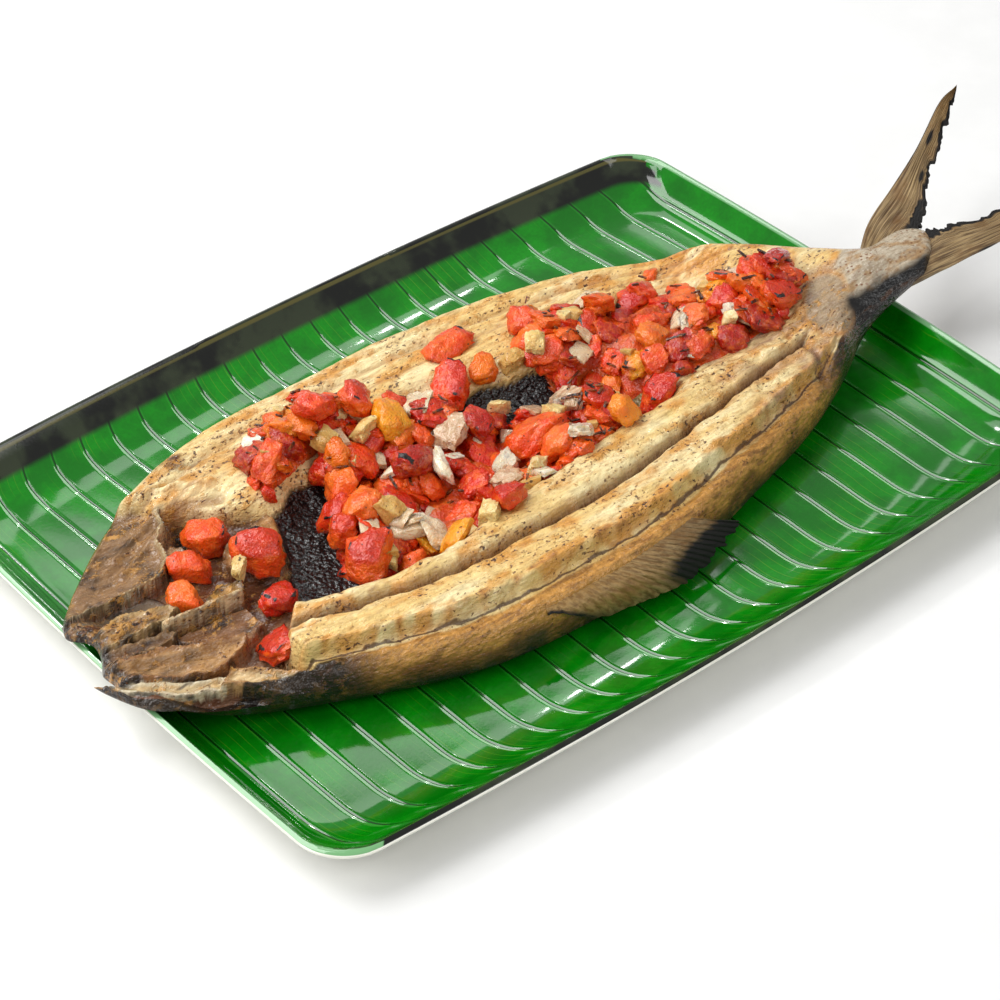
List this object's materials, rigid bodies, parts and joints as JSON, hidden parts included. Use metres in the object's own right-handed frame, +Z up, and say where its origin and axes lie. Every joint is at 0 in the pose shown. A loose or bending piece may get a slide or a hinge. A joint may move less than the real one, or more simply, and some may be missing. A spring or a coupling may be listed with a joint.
{
  "type": "whole grilled fish on a tray",
  "caption": "Whole grilled fish opened flat from the back, flesh up, topped with diced tomato, onion and garlic, on a shallow green ribbed tray.",
  "frame": {"origin": "centre of the tray's flat underside", "axes": "+X along the tray from the fish's snout to its tail, +Y to the tray's far long side, +Z up"},
  "size_m": [0.404, 0.2256, 0.0458],
  "materials": {
    "melamine": "glossy green melamine with pale ribs and a cream lip",
    "fish": "moist grilled flesh, browned and charred in places",
    "tomato": "wet diced tomato with onion and garlic"
  },
  "bodies": {
    "root": {"tray": "melamine", "fish": "fish", "salsa_tail": "tomato", "salsa_middle": "tomato", "salsa_side": "tomato", "tomato_dice_01": "tomato", "tomato_dice_02": "tomato", "tomato_dice_03": "tomato", "tomato_dice_04": "tomato", "tomato_dice_05": "tomato", "tomato_dice_06": "tomato", "tomato_dice_07": "tomato", "tomato_dice_08": "tomato", "tomato_dice_09": "tomato"}
  },
  "joints": []
}
